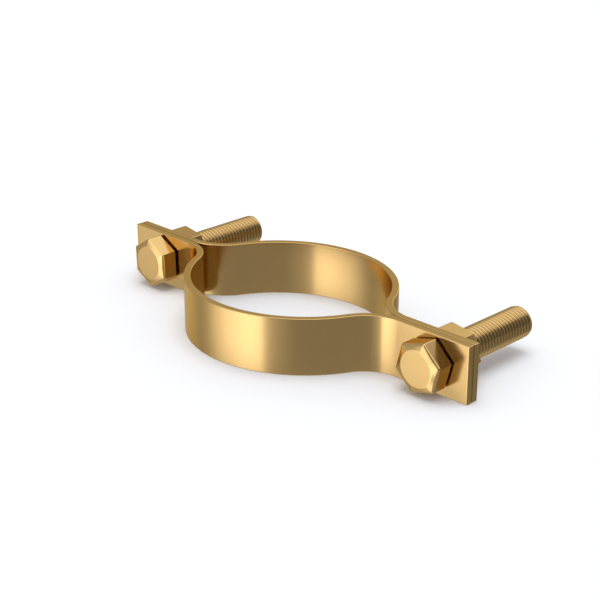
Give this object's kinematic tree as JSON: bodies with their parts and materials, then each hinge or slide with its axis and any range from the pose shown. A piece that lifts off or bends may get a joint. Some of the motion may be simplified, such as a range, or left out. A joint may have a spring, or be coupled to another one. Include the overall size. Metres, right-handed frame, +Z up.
{
  "type": "strap pipe clamp",
  "caption": "Pipe clamp of two bent flat-bar straps whose ears are drawn together by hex bolts and nuts to grip a pipe.",
  "frame": {"origin": "centre of the footprint, on the surface the clamp stands on", "axes": "+X from the left ear to the right ear, +Y along the bolts from their heads to their tips, +Z up along the straps' width and the gripped pipe"},
  "size_m": [0.2424, 0.1186, 0.03],
  "materials": {
    "strap": "satin yellow brass",
    "fastener": "satin yellow brass"
  },
  "bodies": {
    "front": {"front_strap": "strap"},
    "back": {"back_strap": "strap"},
    "left_bolt": {"left_bolt": "fastener"},
    "right_bolt": {"right_bolt": "fastener"},
    "left_nut": {"left_nut": "fastener"},
    "right_nut": {"right_nut": "fastener"}
  },
  "joints": [
    {"name": "left_nut_turn", "type": "hinge", "parent": "back", "child": "left_nut", "pos_m": [-0.0985, -0.00677, 0.015], "axis": [0, 1, 0], "range_deg": [0, 6930.1]},
    {"name": "right_nut_turn", "type": "hinge", "parent": "back", "child": "right_nut", "pos_m": [0.0985, -0.00677, 0.015], "axis": [0, 1, 0], "range_deg": [0, 6930.1]},
    {"name": "clamp_opening", "type": "slide", "parent": "front", "child": "back", "axis": [0, 1, 0], "range_m": [0, 0.04505]},
    {"name": "left_bolt_turn", "type": "hinge", "parent": "front", "child": "left_bolt", "pos_m": [-0.0985, -0.00677, 0.015], "axis": [0, 1, 0], "continuous": true},
    {"name": "right_bolt_turn", "type": "hinge", "parent": "front", "child": "right_bolt", "pos_m": [0.0985, -0.00677, 0.015], "axis": [0, 1, 0], "continuous": true}
  ],
  "couplings": [
    {"joint": "left_nut_turn", "follows": "clamp_opening", "rad_per_m": 2685.1},
    {"joint": "right_nut_turn", "follows": "clamp_opening", "rad_per_m": 2685.1}
  ]
}
